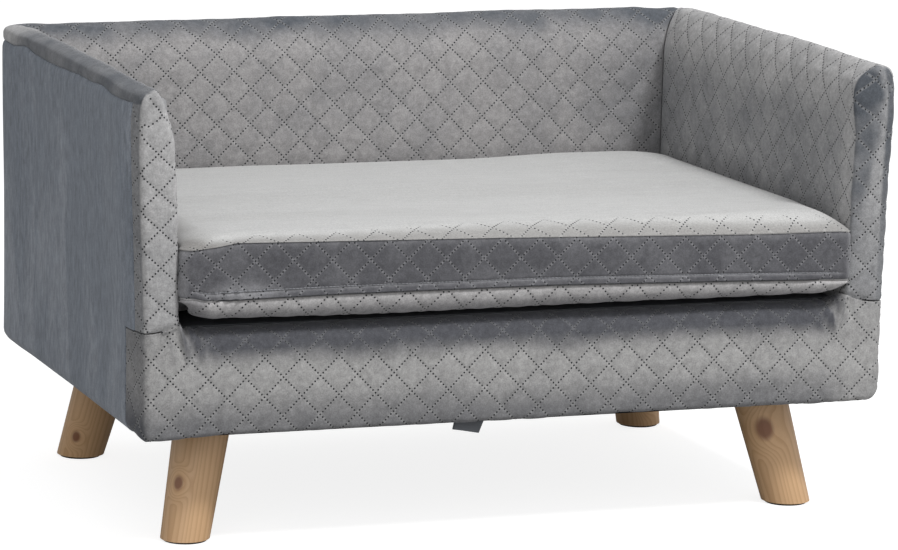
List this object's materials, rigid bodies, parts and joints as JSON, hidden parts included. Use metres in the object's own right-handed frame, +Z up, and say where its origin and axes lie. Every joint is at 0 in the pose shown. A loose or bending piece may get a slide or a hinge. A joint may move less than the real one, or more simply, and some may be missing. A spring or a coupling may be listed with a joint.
{
  "type": "dog sofa bed",
  "caption": "Small upholstered pet sofa with quilted velvet arms, back and rail, a loose zipped seat cushion and splayed round wooden legs.",
  "frame": {"origin": "on the floor, under the middle of the body", "axes": "+X along the width, towards the right-hand arm as seen from the front, -Y out of the open front, +Z up"},
  "size_m": [0.685, 0.475, 0.411],
  "materials": {
    "quilted_velvet": "grey velvet pressed and punched in diamonds",
    "plain_velvet": "plain grey velvet, pile brushed downwards",
    "deck_cloth": "matte",
    "dust_cloth": "black non-woven, matte",
    "tag_cloth": "blank woven tag, matte",
    "zip_tape": "matte",
    "zip_coil": "satin",
    "foam": "open-cell foam, matte",
    "wadding": "polyester wadding, matte",
    "board": "sawn particle board",
    "frame_timber": "sawn softwood",
    "leg_pine": "turned pine, clear satin lacquer",
    "zinc_steel": "zinc plated",
    "glide_rubber": "matte",
    "zip_metal": "nickel plated"
  },
  "bodies": {
    "sofa": {"left_arm_cover": "quilted_velvet", "right_arm_cover": "quilted_velvet", "back_cover": "quilted_velvet", "front_rail_cover": "quilted_velvet", "left_side_cover": "plain_velvet", "right_side_cover": "plain_velvet", "rear_cover": "plain_velvet", "deck_cloth": "deck_cloth", "dust_cover": "dust_cloth", "care_tag": "tag_cloth", "left_arm_foam": "foam", "right_arm_foam": "foam", "back_foam": "foam", "front_rail_foam": "foam", "deck_pad": "foam", "left_side_wadding": "wadding", "right_side_wadding": "wadding", "rear_wadding": "wadding", "left_arm_board": "board", "right_arm_board": "board", "back_board": "board", "front_rail_board": "board", "deck_board": "board", "left_deck_cleat": "frame_timber", "right_deck_cleat": "frame_timber", "front_left_leg_block": "frame_timber", "front_right_leg_block": "frame_timber", "rear_left_leg_block": "frame_timber", "rear_right_leg_block": "frame_timber", "front_left_leg": "leg_pine", "front_right_leg": "leg_pine", "rear_left_leg": "leg_pine", "rear_right_leg": "leg_pine", "hanger_bolts": "zinc_steel", "tee_nuts": "zinc_steel", "frame_screws": "zinc_steel", "leg_glides": "glide_rubber"},
    "cushion": {"cushion_foam": "foam", "cushion_top_cover": "quilted_velvet", "cushion_boxing": "quilted_velvet", "cushion_lower_cover": "quilted_velvet", "zip_flap": "quilted_velvet", "zip_upper_tape": "zip_tape", "zip_lower_tape": "zip_tape", "zip_upper_coil": "zip_coil", "zip_lower_coil": "zip_coil", "zip_stops": "zip_metal"},
    "slider": {"zip_slider": "zip_metal"},
    "pull": {"zip_pull": "zip_metal"}
  },
  "joints": [
    {"name": "cushion_lift", "type": "slide", "parent": "sofa", "child": "cushion", "axis": [0, 0, 1], "range_m": [0, 0.24]},
    {"name": "zip_slide", "type": "slide", "parent": "cushion", "child": "slider", "axis": [-1, 0, 0], "range_m": [0, 0.5094]},
    {"name": "pull_hinge", "type": "hinge", "parent": "slider", "child": "pull", "pos_m": [0.2547, -0.2267, 0.2225], "axis": [0, 0, 1], "range_deg": [0, 10]}
  ]
}
